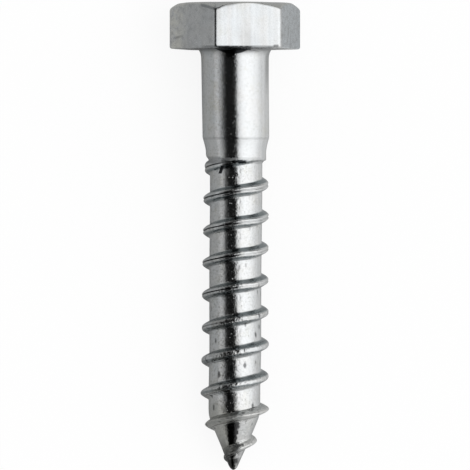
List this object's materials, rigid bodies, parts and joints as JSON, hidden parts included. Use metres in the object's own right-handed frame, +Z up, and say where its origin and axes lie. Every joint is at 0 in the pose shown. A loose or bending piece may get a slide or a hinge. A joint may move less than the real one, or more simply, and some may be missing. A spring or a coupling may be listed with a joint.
{
  "type": "lag screw",
  "caption": "Hexagon-head lag screw for wood: plain shank, tapered run-out and coarse right-hand thread with a gimlet point, zinc plated.",
  "frame": {"origin": "centre of the footprint on the ground, at ground level, with the screw lying down", "axes": "+Y towards the head along the screw's projection on the ground, +Z up, +X across the screw"},
  "size_m": [0.0192, 0.067, 0.017],
  "materials": {
    "zinc_plate": "bright zinc electroplate on cold-formed steel, satin on the head's sides, brighter on the rolled shank and core"
  },
  "bodies": {
    "root": {"lag_screw": "zinc_plate"}
  },
  "joints": []
}
